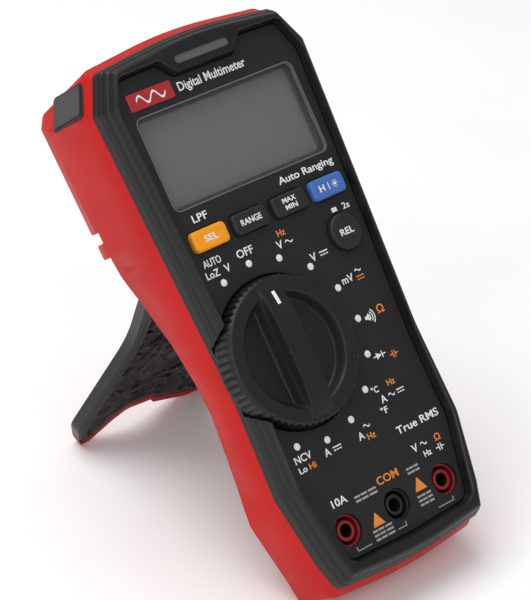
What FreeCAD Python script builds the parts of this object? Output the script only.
import FreeCAD, Part
import math
import os

from FreeCAD import Placement, Rotation, Vector

# Handheld digital multimeter standing on its flip-out tilt stand.
# The model is drawn in the meter's own axes: x to the right, y up along the face, z out of the
# face, with the origin at the middle (common) input socket on the face plane.  Everything is then
# leaned back onto its stand, so the written frame has +Z up and the origin under the box centre.
# All sizes are millimetres and degrees.

# ---------------------------------------------------------------- driving dimensions
LEAN = 52.5                  # angle of the face above the table with the stand out
SEAM_Z = -5.5                # parting plane between the rear and front shells
LOWER_BACK_Z = -28.5         # back of the slim lower body
UPPER_BACK_Z = -33.5         # back of the thick battery block
BLOCK_Y = 105.3              # lower edge of the battery block
BAR_Y = (97.4, 101.9)        # cross bar above the stand hinge
FRONT_INSET = 1.2            # the dark front sits this far inside the red outline
BUMPER_SKIN = 1.8            # soft skin around the hard front shell
WALL = 2.4                   # rear shell wall
BUMPER_TOP_Z = 2.8           # crest of the raised bumper rim
DECK_Z = (-3.0, -1.2)        # deck of the front shell, under the front panel
GAP = 0.3                    # running gap around moving pieces

DIAL = (-13.3, 52.6)         # centre of the rotary selector
DIAL_WELL_R = 23.0
DIAL_WELL_FLOOR_Z = -3.9
KNOB_R = 22.3
KNOB_RIM_Z = 4.2
KNOB_BAR_Z = 6.6
KNOB_SCOOP_R = 17.2
KNOB_SCOOP_Z = 0.6
KNOB_SERRATIONS = 60
SHAFT_R = 4.6
ROTOR_R = 15.6

JACK_PITCH = 19.0            # spacing of 4 mm banana sockets
JACK_BORE_R = 2.0
JACK_TUBE_R = 3.05
JACK_CUP_R = 4.6
JACK_DEPTH = 17.0

WINDOW = (-28.8, 28.8, 101.0, 128.8)
KEY_ROW_Y = 91.0
KEY_ROW_X = (-22.4, -7.45, 7.45, 22.4)
KEY_SIZE = (12.5, 6.2)
KEY_TOP_Z = 1.7
KEY_TRAVEL = 1.0
ROUND_KEY = (21.9, 77.0)
ROUND_KEY_R = 5.5

BOARD_Z = (-10.6, -9.0)
CAVITY_Z = -21.9
SEAL_WIDTH = 1.0
BATTERY = (48.5, 26.5)       # width and length of a 9 V block
BATTERY_Z = (-30.55, -13.45)
BATTERY_Y = 122.8

HINGE = (94.0, -26.0)        # y, z of the stand hinge axis
HINGE_HALF = 21.5
PIN_R = 1.2
BARREL_R = 2.6
STAND_REACH = 91.0           # hinge axis to the centre of the rounded foot
STAND_Z = (-28.25, -23.85)   # closed stand, outer to inner face
STAND_SPLIT_Z = -26.0        # red carrier outside, dark cover inside
COVER_SETBACK = 2.4          # red foot edge left showing below the dark cover
COVER_SKIRT = 1.4            # the cover laps this far over the edges of the plate
FOOT_R = (STAND_Z[1] - STAND_Z[0]) / 2
BOTTOM_FILLET = 8.0
BOTTOM_END = ((-20.0, 0.0), (-13.6, LOWER_BACK_Z))   # y, z of the lower end face, front and back

CASE_SCREWS = ((-31.0, 137.3), (31.0, 137.3), (-27.0, 10.5), (27.0, 10.5))
DOOR_SCREWS = ((-14.0, 139.2), (14.0, 139.2))
BOARD_SCREWS = ((-25.0, 80.0), (26.0, 62.0), (-25.0, 27.0), (25.0, 27.0))

# Right half of each outline from the bottom middle to the top middle: x, y, corner radius.
CASE_HALF = ((0, -17.9, 150), (28.4, -15.4, 4.5), (31.6, -5.5, 10), (35.6, 16, 12), (34.6, 45, 60),
             (37.0, 92, 200), (39.1, 134.4, 3), (32.8, 146.9, 4), (0, 150.2, 150))
# The red rim stands out a little more at its two ends.
RIM_HALF = ((0, -18.6, 150), (28.6, -16.3, 4.5), *CASE_HALF[2:7], (33.0, 147.6, 4), (0, 150.9, 150))
# The same outline at the back, where the top end leans forwards.
BACK_HALF = CASE_HALF[:6] + ((38.3, 137.5, 3), (34.5, 143.0, 3), (0, 147.0, 150))
PANEL_HALF = ((0, -8.9, 150), (23.6, -8.0, 4), (28.9, 16, 12), (28.6, 42, 60), (31.3, 92, 200),
              (33.2, 131.5, 1.5), (29.4, 140.8, 1.5), (15.3, 141.2, 1.0), (11.0, 136.6, 1.0))
# Plan of the stand, half width against distance from the hinge axis.
STAND_HALF = ((21.5, 0, 0), (17.9, 46, 40), (28.7, 83.5, 6), (25.0, 93.2, 1.3))
# Foot edge between the two tips: a finger notch left of the middle.
STAND_NOTCH = ((19.0, 92.2, 3), (1.6, 85.6, 1.2), (0.2, 83.4, 1.2), (-9.8, 82.2, 5), (-14.5, 84.8, 4),
               (-23.5, 92.4, 0.8))
# Lower body sections: y, depth of the side wall, half width of the flat back.
BODY_SECTIONS = ((-22, 20.6, 25.0), (0, 21.5, 27.4), (11, 21.9, 29.6), (25, 18.6, 27.8),
                 (45, 17.0, 26.3), (55, 17.2, 26.5), (68, 19.2, 28.8), (82, 23.5, 32.4),
                 (91, 26.8, 35.2), (98, 27.6, 36.2), (110, 27.6, 36.6))


# ---------------------------------------------------------------- outline tools
def both_halves(half):
    """Mirror a right half outline into a closed ring of (x, y, radius)."""
    left = [(-x, y, r) for x, y, r in reversed(half) if x > 0]
    return list(half) + left


def inset(ring, distance):
    """Move every side of an anticlockwise ring inwards and adjust the corner radii."""
    count = len(ring)
    lines = []
    for i in range(count):
        a, b = Vector(*ring[i][:2], 0), Vector(*ring[(i + 1) % count][:2], 0)
        along = (b - a).normalize()
        inward = Vector(-along.y, along.x, 0)
        lines.append((a + inward * distance, along))
    result = []
    for i in range(count):
        (p, u), (q, v) = lines[i - 1], lines[i]
        cross = u.x * v.y - u.y * v.x
        step = ((q.x - p.x) * v.y - (q.y - p.y) * v.x) / cross
        corner = p + u * step
        radius = ring[i][2] - distance if cross > 0 else ring[i][2] + distance
        result.append((corner.x, corner.y, max(radius, 0.4)))
    return result


def ring_wire(ring, z=0.0):
    """Closed wire of straight sides and tangent arcs through a ring of (x, y, radius)."""
    count = len(ring)
    corners = []
    for i in range(count):
        before = Vector(*ring[i - 1][:2], z)
        here = Vector(*ring[i][:2], z)
        after = Vector(*ring[(i + 1) % count][:2], z)
        u, v = (before - here).normalize(), (after - here).normalize()
        radius = ring[i][2]
        half_angle = u.getAngle(v) / 2
        if radius <= 0:
            corners.append((here, here, here))
            continue
        reach = radius / math.tan(half_angle)
        bisector = (u + v).normalize()
        middle = here + bisector * (radius / math.sin(half_angle) - radius)
        corners.append((here + u * reach, middle, here + v * reach))
    edges = []
    for i, (start, middle, end) in enumerate(corners):
        if start.distanceToPoint(end) > 1e-6:
            edges.append(Part.Arc(start, middle, end).toShape())
        following = corners[(i + 1) % count][0]
        if end.distanceToPoint(following) > 1e-6:
            edges.append(Part.LineSegment(end, following).toShape())
    return Part.Wire(edges)


def prism(ring, z0, z1):
    """Straight solid of a ring between two heights."""
    return Part.Face(ring_wire(ring, z0)).extrude(Vector(0, 0, z1 - z0))


def taper(*levels):
    """Solid skinned through rings given as (ring, z)."""
    return Part.makeLoft([ring_wire(ring, z) for ring, z in levels], True, True)


def rectangle(x0, x1, y0, y1, radius=0.0):
    """Anticlockwise ring of a rectangle with rounded corners."""
    return [(x0, y0, radius), (x1, y0, radius), (x1, y1, radius), (x0, y1, radius)]


def box(x0, x1, y0, y1, z0, z1):
    """Square-edged block between two values on each axis."""
    return Part.makeBox(x1 - x0, y1 - y0, z1 - z0, Vector(x0, y0, z0))


def rod(x, y, z0, z1, radius):
    """Cylinder standing square to the face."""
    return Part.makeCylinder(radius, z1 - z0, Vector(x, y, z0))


def cross_rod(y, z, half, radius):
    """Cylinder lying across the meter."""
    return Part.makeCylinder(radius, 2 * half, Vector(-half, y, z), Vector(1, 0, 0))


def side_prism(points, half=60):
    """Solid from a ring of (y, z, radius), carried across the meter."""
    wire = ring_wire(points)
    turned = wire.copy()
    turned.Placement = Placement(Vector(-half, 0, 0), Rotation(Vector(1, 1, 1), 120))
    return Part.Face(turned).extrude(Vector(2 * half, 0, 0))


def joined(first, *others):
    """Fuse solids and clear the seams between them."""
    return first.fuse(list(others)).removeSplitter() if others else first


def carved(shape, *tools):
    """Cut tools from a shape one after another."""
    for tool in tools:
        shape = shape.cut(tool)
    return shape


CASE = both_halves(CASE_HALF)
RIM = both_halves(RIM_HALF)
FRONT = inset(CASE, FRONT_INSET)
HARD_FRONT = inset(FRONT, BUMPER_SKIN)
PANEL = both_halves(PANEL_HALF)
COVER_HALF = STAND_HALF[:3] + ((25.95, STAND_HALF[3][1] - COVER_SETBACK, 1.3),)
COVER_LEFT = tuple((-x, d, r) for x, d, r in reversed(COVER_HALF))
STAND_LEFT = tuple((-x, d, r) for x, d, r in reversed(STAND_HALF))
STAND = [(x, HINGE[0] - d, r) for x, d, r in reversed(STAND_HALF + STAND_NOTCH + STAND_LEFT)]
COVER_FIELD = [(x, HINGE[0] - d, r) for x, d, r in reversed(COVER_HALF + COVER_LEFT)]
COVER_FOOT = tuple((x, d - COVER_SETBACK, r) for x, d, r in STAND_NOTCH)
COVER = [(x, HINGE[0] - d, r) for x, d, r in reversed(COVER_HALF + COVER_FOOT + COVER_LEFT)]


# ---------------------------------------------------------------- housing
def body_section(y, side_depth, back_half, shift=0.0, back_z=LOWER_BACK_Z):
    """Trapezoid across the lower body: a flat back with a bevel up to each side wall."""
    side_half = width_at(y)
    spread = (side_half - back_half) / (-LOWER_BACK_Z - side_depth)
    top_z = -4.0
    offset = shift * math.hypot(1, spread)
    low = back_half - offset + spread * (back_z - LOWER_BACK_Z)
    high = back_half - offset + spread * (top_z - LOWER_BACK_Z)
    corners = [Vector(low, y, back_z), Vector(high, y, top_z), Vector(-high, y, top_z),
               Vector(-low, y, back_z)]
    return Part.makePolygon(corners + corners[:1])


def width_at(y):
    """Half width of the red outline's straight sides at a height along the face."""
    sides = [p for p in CASE_HALF if 20 < p[0]][1:-1]
    for (x0, y0, _), (x1, y1, _) in zip(sides, sides[1:]):
        if y <= y1:
            return x0 + (x1 - x0) * (y - y0) / (y1 - y0)
    return sides[-1][0]


def case_skin(back_z):
    """Red outline as a solid, bevelled towards the dark front and leaning in at the top."""
    straight = taper((both_halves(BACK_HALF), back_z), (RIM, SEAM_Z - 3.5))
    bevel = taper((RIM, SEAM_Z - 3.5), (FRONT, SEAM_Z))
    return joined(straight, bevel)


def rear_shell():
    """Red rear shell with the battery block, cross bar and the pocket for the stand."""
    lower = Part.makeLoft([body_section(*s) for s in BODY_SECTIONS], True, True)
    block = side_prism([(BLOCK_Y, UPPER_BACK_Z, 0.8), (BLOCK_Y, -4, 0), (152, -4, 0),
                        (146.0, UPPER_BACK_Z, 2.5)])
    block_sides = Part.makeLoft([Part.makePolygon([
        Vector(half - 1.4, y, UPPER_BACK_Z), Vector(half, y, -28.5), Vector(60, y, -28.5),
        Vector(60, y, -4), Vector(-60, y, -4), Vector(-60, y, -28.5), Vector(-half, y, -28.5),
        Vector(-half + 1.4, y, UPPER_BACK_Z), Vector(half - 1.4, y, UPPER_BACK_Z)])
        for y, half in ((96, width_at(96)), (153, width_at(134)))], True, True)
    bar = side_prism([(BAR_Y[0], UPPER_BACK_Z + 0.4, 0.8), (BAR_Y[0], -20, 0), (BAR_Y[1], -20, 0),
                      (BAR_Y[1], UPPER_BACK_Z + 0.4, 0.8)])
    rear = joined(lower, joined(block, bar).common(block_sides))
    ends = side_prism([(*BOTTOM_END[0], 0), (*BOTTOM_END[1], BOTTOM_FILLET), (96, LOWER_BACK_Z, 0),
                       (96, UPPER_BACK_Z - 1, 0), (160, UPPER_BACK_Z - 1, 0), (160, 0, 0)])
    shell = rear.common(case_skin(UPPER_BACK_Z - 1)).common(ends)

    cavity_loft = Part.makeLoft([body_section(*s, WALL, CAVITY_Z) for s in BODY_SECTIONS], True, True)
    cavity = cavity_loft.common(prism(inset(CASE, WALL + FRONT_INSET), CAVITY_Z, 0))
    cavity = cavity.common(box(-60, 60, -12.4, 103.5, -40, 0))
    attic = prism(inset(CASE, WALL + FRONT_INSET), UPPER_BACK_Z + 2.4, 0)
    attic = attic.common(side_prism([(103.4, -24.5, 0), (107.6, -30.6, 0), (139.5, -30.6, 0),
                                     (146.0, -14, 0), (150, 0, 0), (103.4, 0, 0)]))
    shell = shell.cut(joined(cavity, attic))

    tray = box(-26.4, 26.4, 107.4, 142.0, -30.8, -11.8).common(prism(inset(CASE, WALL), -33, 0))
    bosses = [screw_boss(x, y) for x, y in CASE_SCREWS]
    posts = [rod(x, y, -22.5, BOARD_Z[0], 2.2) for x, y in BOARD_SCREWS]
    shell = joined(shell, tray, *bosses, *posts)

    seal_groove = prism(seal_ring(), -31.1, -30.6).cut(prism(seal_ring(SEAL_WIDTH), -32, -30))
    shell = carved(shell, box(-25.0, 25.0, 108.8, 136.6, -34, -13.0),
                   prism(door_ring(0.25), UPPER_BACK_Z - 1, -31.1), seal_groove,
                   stand_pocket(), cross_rod(*HINGE, HINGE_HALF + 4.0, PIN_R), case_seal_solid())
    shell = carved(shell, *[screw_path(x, y, -33.5 if y > 100 else -29) for x, y in CASE_SCREWS])
    shell = carved(shell, *[rod(x, y, -34, -19, 1.3) for x, y in DOOR_SCREWS])
    shell = carved(shell, *[rod(x, y, -18, -10, 0.95) for x, y in BOARD_SCREWS])
    return carved(shell, *[sensor_plate_solid(side, 0.0) for side in (-1, 1)])


def screw_path(x, y, z_out):
    """Counterbore and clearance hole for a case screw driven from the back."""
    seat = case_screw_seat(y)
    return joined(rod(x, y, z_out, seat, 3.0), rod(x, y, seat - 0.1, 0, 1.6))


def case_screw_seat(y):
    """Height of the seat under a case screw's head."""
    return -28.6 if y > 100 else -20.3


def screw_boss(x, y):
    """Boss for a case screw, thicker around the screw's head."""
    seat = case_screw_seat(y)
    return joined(rod(x, y, seat - 2.4, seat + 1.6, 4.4), rod(x, y, seat, SEAM_Z - 0.1, 2.9))


def stand_pocket():
    """Pocket in the back that takes the closed stand, with room for its barrel to turn."""
    plan = prism(inset(STAND, -0.5), LOWER_BACK_Z - 6, STAND_Z[1] + 0.25)
    barrel = cross_rod(*HINGE, HINGE_HALF + 0.5, BARREL_R + 0.45)
    mouth = box(-HINGE_HALF - 0.5, HINGE_HALF + 0.5, HINGE[0] - 3, HINGE[0] + 3.05,
                LOWER_BACK_Z - 6, HINGE[1])
    finger = box(-9, 9, 0.5, 9.0, LOWER_BACK_Z - 1, STAND_Z[1] + 0.25)
    return joined(plan, barrel, mouth, finger)


def door_ring(grow=0.0):
    """Outline of the battery door."""
    return rectangle(-27.5 - grow, 27.5 + grow, 107.8 - grow, 142.0 + grow, 3.0 + grow)


def seal_ring(shrink=0.0):
    """Outline of the battery door's seal, and of its inner edge when shrunk."""
    return rectangle(-26.9 + shrink, 26.9 - shrink, 107.9 + shrink, 137.3 - shrink, 2.0 - shrink / 2)


def battery_door():
    """Red door over the battery, held by a lower tongue and two captive screws."""
    door = prism(door_ring(), UPPER_BACK_Z, -31.4)
    grips = [box(-9, 9, y, y + 0.8, UPPER_BACK_Z - 1, UPPER_BACK_Z + 0.4) for y in (112, 114.4, 116.8)]
    door = door.cut(grips)
    door = door.cut([rod(x, y, -34, -31.9, 2.5) for x, y in DOOR_SCREWS])
    return door.cut([rod(x, y, -34, -30, 1.25) for x, y in DOOR_SCREWS])


def door_seal():
    """Soft ring between the battery door and the case."""
    return prism(seal_ring(), -31.35, -30.65).cut(prism(seal_ring(SEAL_WIDTH), -32, -30))


def pan_screw(x, y, seat, tip, head_r, shank_r, head_h):
    """Screw driven from the back, with a cross slot in its head."""
    head = rod(x, y, seat - head_h, seat, head_r)
    shank = rod(x, y, seat, tip, shank_r)
    slots = [box(x - a, x + a, y - b, y + b, seat - head_h - 1, seat - head_h + 0.7)
             for a, b in ((head_r * 0.65, 0.3), (0.3, head_r * 0.65))]
    return joined(head, shank).cut(slots)


def case_seal_solid():
    """Square cord seal in the top edge of the rear shell."""
    ring = prism(inset(CASE, 2.1), SEAM_Z - 0.8, SEAM_Z)
    return ring.cut(prism(inset(CASE, 2.9), SEAM_Z - 2, SEAM_Z + 1))


def dial_cut(z0):
    """Round recess that the selector sits in."""
    return rod(*DIAL, z0, 20, DIAL_WELL_R)


def key_ring(x, grow):
    """Outline of a rectangular key at x."""
    w, h = KEY_SIZE[0] / 2 + grow, KEY_SIZE[1] / 2 + grow
    return rectangle(x - w, x + w, KEY_ROW_Y - h, KEY_ROW_Y + h, 1.5 + grow)


def face_openings(z0, z1, grow=GAP):
    """Key and socket openings through the face."""
    keys = [prism(key_ring(x, grow), z0, z1) for x in KEY_ROW_X]
    jacks = [rod(x, 0, z0, z1, JACK_CUP_R + 0.05) for x in (-JACK_PITCH, 0, JACK_PITCH)]
    return keys + jacks + [rod(*ROUND_KEY, z0, z1, ROUND_KEY_R + grow)]


def light_slot(grow):
    """Outline of the indicator window in the nose."""
    return rectangle(-10 - grow, 10 + grow, 139.4 - grow, 141.8 + grow, 1.15 + grow)


def front_shell():
    """Hard front shell: deck, rim, dial well and screw bosses."""
    shell = prism(HARD_FRONT, SEAM_Z, DECK_Z[1])
    shell = shell.cut(prism(inset(HARD_FRONT, 1.8), SEAM_Z - 1, DECK_Z[0]))
    well = rod(*DIAL, SEAM_Z + 0.1, DECK_Z[1], DIAL_WELL_R + 1.4).common(prism(HARD_FRONT, SEAM_Z, 0))
    bosses = [rod(x, y, SEAM_Z, DECK_Z[0] + 0.5, 2.9).common(prism(HARD_FRONT, -9, 0))
              for x, y in CASE_SCREWS]
    shell = joined(shell, well, *bosses)
    shell = shell.cut([dial_cut(DIAL_WELL_FLOOR_Z), rod(*DIAL, -9, 0, SHAFT_R + GAP),
                       prism(lens_ring(0.05), -2.4, 0),
                       prism(rectangle(-27.8, 27.8, 102.0, 127.8, 1.5), -9, 0),
                       prism(light_slot(0.05), -9, 0)])
    shell = shell.cut(face_openings(-9, 0))
    return shell.cut([rod(x, y, -9, DECK_Z[0] + 0.9, 1.5) for x, y in CASE_SCREWS])


def bumper_bezel():
    """Soft bumper around the front: skin, bevelled shoulder and raised rim with a nose."""
    outer = taper((FRONT, SEAM_Z), (inset(FRONT, 0.4), -1.8), (inset(FRONT, 2.2), 1.9),
                  (inset(FRONT, 3.6), BUMPER_TOP_Z))
    pocket = taper((inset(PANEL, -0.02), DECK_Z[1]), (inset(PANEL, -1.2), BUMPER_TOP_Z + 0.2))
    bezel = outer.cut([pocket, prism(HARD_FRONT, SEAM_Z - 1, DECK_Z[1])])
    return bezel.cut([dial_cut(DIAL_WELL_FLOOR_Z), prism(light_slot(0.05), -9, 9)])


def front_panel():
    """Flat printed panel with openings for the window, keys, dial and sockets."""
    panel = prism(inset(PANEL, 0.25), DECK_Z[1], 0)
    panel = panel.cut([dial_cut(-9), prism(rectangle(*WINDOW, 2.0), -9, 9)])
    return panel.cut(face_openings(-9, 9))


# ---------------------------------------------------------------- display
def lens_ring(grow=0.0):
    """Outline of the clear lens."""
    return rectangle(-30.4 - grow, 30.4 + grow, 99.4 - grow, 130.4 + grow, 1.5)


def display_lens():
    """Clear window under the panel's opening."""
    return prism(lens_ring(), -2.4, DECK_Z[1])


def lcd_glass():
    """Liquid crystal glass."""
    return prism(rectangle(-30.4, 30.4, 98.6, 131.4, 0.3), -5.0, -3.25)


def lcd_backlight():
    """White diffuser behind the glass."""
    return prism(rectangle(-29.4, 29.4, 99.6, 130.4, 0.5), -6.9, -5.2)


def lcd_holder():
    """Open frame that carries the glass above the board."""
    frame = prism(rectangle(-32.0, 32.0, 97.0, 133.0, 1.0), BOARD_Z[1], -3.05)
    frame = frame.cut(prism(rectangle(-30.6, 30.6, 98.4, 131.6, 0.5), -12, 0))
    rest = prism(rectangle(-30.7, 30.7, 98.3, 131.7, 0.5), -8.6, -7.1)
    rest = rest.cut(prism(rectangle(-27.0, 27.0, 99.6, 130.4, 0.5), -12, 0))
    slots = [box(-28.3, 28.3, y - 0.1, y + 0.95, -10, -5) for y in (98.55, 130.55)]
    return joined(frame, rest.cut(slots))


def zebra_strips():
    """Two conductive rubber strips from the board to the glass."""
    strips = [box(-28.0, 28.0, y, y + 0.85, BOARD_Z[1] + 0.02, -5.05) for y in (98.55, 130.55)]
    return Part.makeCompound(strips)


def light_pipe():
    """Frosted indicator window with a stem down to its lamp."""
    head = prism(light_slot(0.0), DECK_Z[0], 2.3)
    return joined(head, box(-2, 2, 139.8, 141.4, -8.2, DECK_Z[0]))


def badge_plate():
    """Plain raised badge."""
    return prism(rectangle(-29.0, -13.0, 131.2, 136.3, 0.6), 0.0, 0.4)


# ---------------------------------------------------------------- rotary selector
def at_dial(shape):
    """Move a piece drawn about the origin onto the selector's axis."""
    shape.translate(Vector(*DIAL, 0))
    return shape


def selector_knob():
    """Round knob with a serrated edge and two scoops beside a central grip bar."""
    profile = [(0, KNOB_SCOOP_Z), (KNOB_SCOOP_R - 0.6, KNOB_SCOOP_Z), (KNOB_SCOOP_R, 1.4),
               (KNOB_SCOOP_R + 0.5, KNOB_RIM_Z), (20.7, KNOB_RIM_Z), (21.4, KNOB_RIM_Z - 0.7),
               (KNOB_R, 0.2), (KNOB_R, -3.3), (20.6, -3.3), (20.2, -1.3), (0, -1.3)]
    wire = Part.makePolygon([Vector(r, 0, z) for r, z in profile + profile[:1]])
    knob = Part.Face(wire).revolve(Vector(0, 0, 0), Vector(0, 0, 1), 360)
    ends = side_prism([(-20.4, 0.3, 0), (20.4, 0.3, 0), (20.4, KNOB_RIM_Z, 1), (15.5, KNOB_BAR_Z, 5),
                       (-15.5, KNOB_BAR_Z, 5), (-20.4, KNOB_RIM_Z, 1)], 10)
    bar = taper((rectangle(-4.7, 4.7, -21, 21), 0.2), (rectangle(-3.9, 3.9, -21, 21), KNOB_BAR_Z + 1))
    bar = bar.common(ends).common(rod(0, 0, -5, 9, 20.5))
    angles = [360 * i / KNOB_SERRATIONS for i in range(KNOB_SERRATIONS)]
    flutes = [rod((KNOB_R + 0.35) * math.cos(math.radians(a)), (KNOB_R + 0.35) * math.sin(math.radians(a)),
                  -2.4, KNOB_RIM_Z + 1, 0.75) for a in angles]
    knob = joined(knob, bar).cut(Part.makeCompound(flutes))
    return at_dial(knob.cut(box(-0.65, 0.65, 13.4, 17.6, 5.4, 9)))


def knob_pointer():
    """White line set into the grip bar."""
    line = box(-0.6, 0.6, 13.45, 17.55, 5.4, 6.62)
    return at_dial(line.common(box(-1, 1, 13, 16.6, 5, 6.62).fuse(box(-1, 1, 16.5, 18, 5, 6.2))))


def selector_shaft():
    """Hub that drives the rotor, flatted at its lower end."""
    hub = joined(rod(0, 0, -6.2, -1.3, SHAFT_R), rod(0, 0, -8.0, -6.2, 3.0))
    return at_dial(hub.cut(box(2.3, 5, -5, 5, -8.1, -6.2)))


def switch_rotor():
    """Disc that carries the wipers, with one detent notch for each position."""
    disc = rod(0, 0, -8.0, -6.25, ROTOR_R).cut(rod(0, 0, -9, -5, 3.05))
    disc = joined(disc, box(2.35, 3.6, -2.2, 2.2, -8.0, -6.25))
    notches = [rod((ROTOR_R + 0.4) * math.cos(math.radians(22.5 * i)),
                   (ROTOR_R + 0.4) * math.sin(math.radians(22.5 * i)), -9, -5, 1.1) for i in range(16)]
    return at_dial(disc.cut(notches))


def wiper_contacts():
    """Sprung bridging contacts under the rotor."""
    bridges = []
    for turn, radius in ((20, 8.0), (140, 10.5), (260, 13.0)):
        bridge = box(radius - 1.6, radius + 1.6, -0.7, 0.7, -8.6, -8.0)
        bridge = joined(bridge, rod(radius - 1.0, 0, -8.7, -8.5, 0.5), rod(radius + 1.0, 0, -8.7, -8.5, 0.5))
        bridge.rotate(Vector(0, 0, 0), Vector(0, 0, 1), turn)
        bridges.append(bridge)
    return at_dial(Part.makeCompound(bridges))


def detent_spring():
    """Leaf spring fixed beside the rotor, with a round nose that drops into its notches."""
    leaf = box(ROTOR_R + 2.2, ROTOR_R + 2.6, -8, 8, -8.2, -6.3)
    nose = rod(ROTOR_R + 1.3, 0, -8.2, -6.3, 1.0)
    foot = box(ROTOR_R + 1.6, ROTOR_R + 4.6, 6.5, 9.5, BOARD_Z[1], -6.3)
    spring = joined(leaf, nose, foot)
    return at_dial(spring)


# ---------------------------------------------------------------- keys
def push_key(x):
    """Rectangular key cap with a retaining flange and a stem."""
    top = taper((key_ring(x, 0.0), DECK_Z[0] - 0.4), (key_ring(x, 0.0), KEY_TOP_Z - 0.5),
                (key_ring(x, -0.45), KEY_TOP_Z))
    flange = prism(key_ring(x, 0.9), -4.4, -3.4)
    return joined(top, flange, rod(x, KEY_ROW_Y, -4.9, -4.4, 2.0))


def round_key():
    """Round key cap with a chamfered edge, a flange and a stem."""
    x, y = ROUND_KEY
    top = rod(x, y, -3.4, KEY_TOP_Z, ROUND_KEY_R)
    rim = top.Edges[0] if top.Edges[0].BoundBox.ZMin > 1 else top.Edges[2]
    top = top.makeChamfer(0.5, [rim])
    return joined(top, rod(x, y, -4.4, -3.4, ROUND_KEY_R + 0.9), rod(x, y, -4.9, -4.4, 2.0))


def keypad_mat():
    """Silicone sheet with one plunger under each key."""
    sheet = joined(box(-30, 30, 86.0, 95.8, -8.95, -8.1), box(15, 29, 71.0, 86.5, -8.95, -8.1))
    centres = [(x, KEY_ROW_Y) for x in KEY_ROW_X] + [ROUND_KEY]
    domes = [Part.makeCone(2.8, 1.8, 1.9, Vector(x, y, -8.2)) for x, y in centres]
    return joined(sheet, *domes)


# ---------------------------------------------------------------- input sockets
def socket_insulator(x):
    """Moulded cup with a central tube around the contact."""
    cup = rod(x, 0, -12.0, DECK_Z[1], JACK_CUP_R).cut(rod(x, 0, -9.0, 0, JACK_CUP_R - 0.45))
    tube = rod(x, 0, -12.0, -1.5, JACK_TUBE_R)
    flange = rod(x, 0, -4.4, -3.1, 6.2).cut(rod(x, 0, -5, 0, JACK_CUP_R - 0.1))
    return joined(cup, tube, flange).cut([rod(x, 0, -13, -1.9, 2.45), rod(x, 0, -13, 0, JACK_BORE_R + 0.05)])


def socket_contact(x):
    """Brass tube that takes the 4 mm plug, closed at its inner end."""
    contact = joined(rod(x, 0, -20.4, -1.95, 2.4), rod(x, 0, -13.2, -12.05, 3.6))
    return contact.cut(rod(x, 0, -1.95 - JACK_DEPTH, 0, JACK_BORE_R))


# ---------------------------------------------------------------- electronics
def main_board():
    """Circuit board, cut around the sockets, screws and selector."""
    board = prism(inset(CASE, 5.0), *BOARD_Z)
    holes = [rod(x, 0, -12, -8, JACK_CUP_R + 0.2) for x in (-JACK_PITCH, 0, JACK_PITCH)]
    holes += [rod(x, y, -12, -8, 3.3) for x, y in CASE_SCREWS]
    holes += [rod(x, y, -12, -8, 1.15) for x, y in BOARD_SCREWS]
    return board.cut(holes + [rod(*DIAL, -12, -8, 1.5)])


def board_screws():
    """Screws that hold the board to its posts."""
    screws = [joined(rod(x, y, BOARD_Z[1], -7.6, 2.0), rod(x, y, -17.0, BOARD_Z[1], 0.9))
              for x, y in BOARD_SCREWS]
    return Part.makeCompound(screws)


def fuse(y, length, radius, z):
    """Ceramic tube fuse with a metal cap on each end."""
    body = Part.makeCylinder(radius - 0.25, length, Vector(-length / 2, y, z), Vector(1, 0, 0))
    caps = [Part.makeCylinder(radius, 6, Vector(x, y, z), Vector(1, 0, 0))
            for x in (-length / 2, length / 2 - 6)]
    return joined(body, *caps)


FUSES = (("fuse_main", 26.5, 38.0, 5.1, -16.5), ("fuse_small", 41.0, 32.0, 3.15, -14.6))


def fuse_clips():
    """Sprung clips soldered to the board, two for each fuse."""
    clips = []
    for _, y, length, radius, z in FUSES:
        for x in (-length / 2 + 1, length / 2 - 5):
            block = box(x, x + 4, y - radius - 0.9, y + radius + 0.9, z, BOARD_Z[0])
            grip = Part.makeCylinder(radius + 0.9, 4, Vector(x, y, z), Vector(1, 0, 0))
            clear = Part.makeCylinder(radius + 0.03, 6, Vector(x - 1, y, z), Vector(1, 0, 0))
            keep = box(x, x + 4, y - 9, y + 9, z - radius * 0.5, BOARD_Z[0])
            clips.append(joined(block, grip).common(keep).cut(clear))
    return Part.makeCompound(clips)


def board_parts():
    """Chips, relays and protection parts on the back of the board."""
    sizes = ((-14, 74, 12, 12, 1.5), (4, 78, 9, 9, 1.5), (-24, 52, 8, 14, 5.5), (-2, 58, 10, 15, 6.0),
             (14, 88, 7, 9, 2.0), (-6, 92, 14, 6, 2.2), (8, 12, 8, 5, 7.0), (-9, 12, 6, 5, 7.0))
    return Part.makeCompound([box(x - w / 2, x + w / 2, y - d / 2, y + d / 2, BOARD_Z[0] - h, BOARD_Z[0])
                              for x, y, w, d, h in sizes])


def current_shunt():
    """Bent resistance wire between the current sockets."""
    middle, reach, wire_r = Vector(-9.5, 6.2, BOARD_Z[0] - 2.0), 4.0, 0.8
    section = Part.makeCircle(wire_r, middle - Vector(reach, 0, 0), Vector(0, 0, 1))
    loop = Part.Face(Part.Wire(section)).revolve(middle, Vector(0, -1, 0), 180)
    legs = [rod(middle.x + dx, middle.y, middle.z, BOARD_Z[0], wire_r) for dx in (-reach, reach)]
    return joined(loop, *legs)


def buzzer():
    """Round sounder with its outlet."""
    x, y = 15.5, 67.0
    can = rod(x, y, BOARD_Z[0] - 3.6, BOARD_Z[0], 8.5)
    return can.cut(rod(x, y, BOARD_Z[0] - 5, BOARD_Z[0] - 2.6, 1.5))


def field_sensor():
    """Upright plate behind the nose that senses mains wiring."""
    return box(-13, 13, 143.3, 144.1, -17.5, BOARD_Z[0])


def battery_block():
    """Nine volt battery on its side."""
    w, d = BATTERY
    return prism(rectangle(-w / 2, w / 2, BATTERY_Y - d / 2, BATTERY_Y + d / 2, 2.0), *BATTERY_Z)


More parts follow.
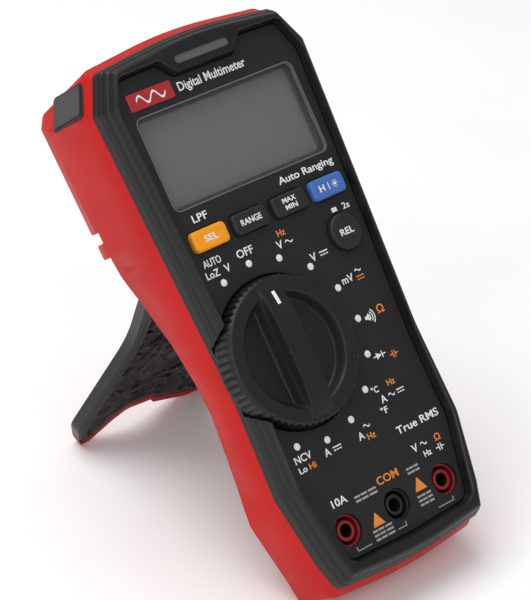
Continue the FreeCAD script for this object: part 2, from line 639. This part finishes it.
def battery_contacts():
    """Snap studs and their carrier at the end of the battery."""
    plate = box(-8, 8, 113, 132, -13.15, -13.0)
    return joined(plate, rod(0, 116.3, -13.42, -13.1, 2.6), rod(0, 129.0, -13.42, -13.1, 3.6))


def sensor_plate_solid(side, clearance):
    """Plate on the corner facet of the battery block; side is -1 left or 1 right."""
    (x0, y0, _), (x1, y1, _) = CASE_HALF[6], CASE_HALF[7]
    length = math.hypot(x1 - x0, y1 - y0)
    along = Vector((x1 - x0) / length, (y1 - y0) / length, 0)
    out = Vector(along.y, -along.x, 0)
    plate = prism(rectangle(2.4 + clearance, 11.2 - clearance, 9.5 + clearance, 25.0 - clearance, 0.8),
                  -0.9, 0.75)
    plate.Placement = Placement(Vector(x0, y0, 0), Rotation(along, Vector(0, 0, -1), out, "XYZ"))
    return plate if side > 0 else plate.mirror(Vector(0, 0, 0), Vector(1, 0, 0))


# ---------------------------------------------------------------- tilt stand
def cover_closed():
    """Dark moulded cover of the closed stand, lapped over its side edges."""
    outer, inner = STAND_Z
    top = HINGE[0] - 3.6
    cover = prism(COVER, outer, inner)
    plate_room = prism(inset(COVER_FIELD, COVER_SKIRT), outer - 1, STAND_SPLIT_Z)
    well = prism(inset(COVER_FIELD, 3.4), inner - 0.8, inner + 1)
    well = well.common(box(-40, 40, HINGE[0] - 77, top - 2.5, -40, 0))
    region = box(-40, 40, HINGE[0] - STAND_REACH, top, -40, 0)
    return cover.cut([plate_room, well]).common(region)


def stand_carrier():
    """Red stand plate with its hinge barrel, hollowed back and two rounded feet."""
    outer, inner = STAND_Z
    foot_y = HINGE[0] - STAND_REACH
    lower = box(-40, 40, -20, HINGE[0] - 79, -40, 0)
    plate = joined(prism(STAND, outer, STAND_SPLIT_Z), prism(STAND, outer, inner).common(lower))
    roll = cross_rod(foot_y, (outer + inner) / 2, 40, FOOT_R)
    plate = plate.common(joined(roll, box(-40, 40, foot_y, HINGE[0], -40, 0)))
    barrel = cross_rod(*HINGE, HINGE_HALF, BARREL_R)
    neck = box(-HINGE_HALF, HINGE_HALF, HINGE[0] - 4, HINGE[0], outer, STAND_SPLIT_Z)
    hollow = prism(inset(COVER_FIELD, 4.0), outer - 1, outer + 0.9)
    hollow = hollow.common(box(-40, 40, HINGE[0] - 76, HINGE[0] - 9, -40, 0))
    stand = joined(plate, barrel, neck)
    return opened(carved(stand, hollow, cover_closed(), cross_rod(*HINGE, 40, PIN_R + 0.06)))


def stand_cover():
    """Dark cover, swung out with the stand."""
    return opened(cover_closed())


def lowest_of_case():
    """Height of the case's rounded lower edge in the leaned position, before seating."""
    lean = math.radians(LEAN)
    lower, corner = (Vector(*point, 0) for point in BOTTOM_END)
    end_face = (lower - corner).normalize()
    back_face = Vector(1, 0, 0)
    half = end_face.getAngle(back_face) / 2
    centre = corner + (end_face + back_face).normalize() * (BOTTOM_FILLET / math.sin(half))
    return centre.x * math.sin(lean) + centre.y * math.cos(lean) - BOTTOM_FILLET


def open_angle():
    """Stand angle that brings its feet level with the lower edge of the case."""
    lean = math.radians(LEAN)
    hinge_height = HINGE[0] * math.sin(lean) + HINGE[1] * math.cos(lean)
    drop = hinge_height - lowest_of_case() - FOOT_R
    return 180 - math.degrees(math.asin(drop / STAND_REACH)) - LEAN


def opened(shape):
    """Swing a piece drawn on the closed stand out to the standing position."""
    shape.rotate(Vector(0, *HINGE), Vector(1, 0, 0), open_angle())
    return shape


def hinge_pin():
    """Steel pin through the stand's barrel, pressed into the case at both ends."""
    return cross_rod(*HINGE, HINGE_HALF + 4.0, PIN_R)


# ---------------------------------------------------------------- assembly
def all_parts():
    """Every named piece in the meter's own axes."""
    parts = {
        "rear_shell": rear_shell(),
        "battery_door": battery_door(),
        "door_seal": door_seal(),
        "door_screws": Part.makeCompound([pan_screw(x, y, -31.9, -22.0, 2.2, 1.15, 1.0)
                                          for x, y in DOOR_SCREWS]),
        "case_seal": case_seal_solid(),
        "case_screws": Part.makeCompound([pan_screw(x, y, case_screw_seat(y), -2.4, 2.7, 1.4, 1.5)
                                          for x, y in CASE_SCREWS]),
        "front_shell": front_shell(),
        "bumper_bezel": bumper_bezel(),
        "front_panel": front_panel(),
        "badge_plate": badge_plate(),
        "display_lens": display_lens(),
        "lcd_glass": lcd_glass(),
        "lcd_backlight": lcd_backlight(),
        "lcd_holder": lcd_holder(),
        "zebra_strips": zebra_strips(),
        "light_pipe": light_pipe(),
        "selector_knob": selector_knob(),
        "knob_pointer": knob_pointer(),
        "selector_shaft": selector_shaft(),
        "switch_rotor": switch_rotor(),
        "wiper_contacts": wiper_contacts(),
        "detent_spring": detent_spring(),
        "key_relative": round_key(),
        "keypad_mat": keypad_mat(),
        "main_board": main_board(),
        "board_screws": board_screws(),
        "board_parts": board_parts(),
        "fuse_clips": fuse_clips(),
        "current_shunt": current_shunt(),
        "buzzer": buzzer(),
        "field_sensor": field_sensor(),
        "battery_block": battery_block(),
        "battery_contacts": battery_contacts(),
        "sensor_plate_left": sensor_plate_solid(-1, 0.05),
        "sensor_plate_right": sensor_plate_solid(1, 0.05),
        "tilt_stand": stand_carrier(),
        "stand_cover": stand_cover(),
        "hinge_pin": hinge_pin(),
    }
    for name, x in zip(("key_select", "key_range", "key_minmax", "key_hold"), KEY_ROW_X):
        parts[name] = push_key(x)
    for name, x in (("amp", -JACK_PITCH), ("common", 0.0), ("volt", JACK_PITCH)):
        parts[f"socket_{name}"] = socket_insulator(x)
        parts[f"contact_{name}"] = socket_contact(x)
    for name, *sizes in FUSES:
        parts[name] = fuse(*sizes)
    return parts


def seating(shapes):
    """Placement that leans the meter back and puts the origin under the middle of its box."""
    lean = Rotation(Vector(1, 0, 0), LEAN)
    outermost = ("rear_shell", "bumper_bezel", "battery_door", "selector_knob", "tilt_stand")
    points = [lean.multVec(p) for name in outermost for p in shapes[name].tessellate(0.01)[0]]
    y_mid = (min(p.y for p in points) + max(p.y for p in points)) / 2
    return Placement(Vector(0, -y_mid, -min(p.z for p in points)), lean)


def main():
    """Write one file for each piece, and give the pieces and their placement to the caller."""
    os.makedirs("parts", exist_ok=True)
    shapes = all_parts()
    seat = seating(shapes)
    for name, shape in shapes.items():
        shape.Placement = seat.multiply(shape.Placement)
        shape.exportStep(os.path.join("parts", f"{name}.step"))
    return shapes, seat


if __name__ == "__main__":
    main()
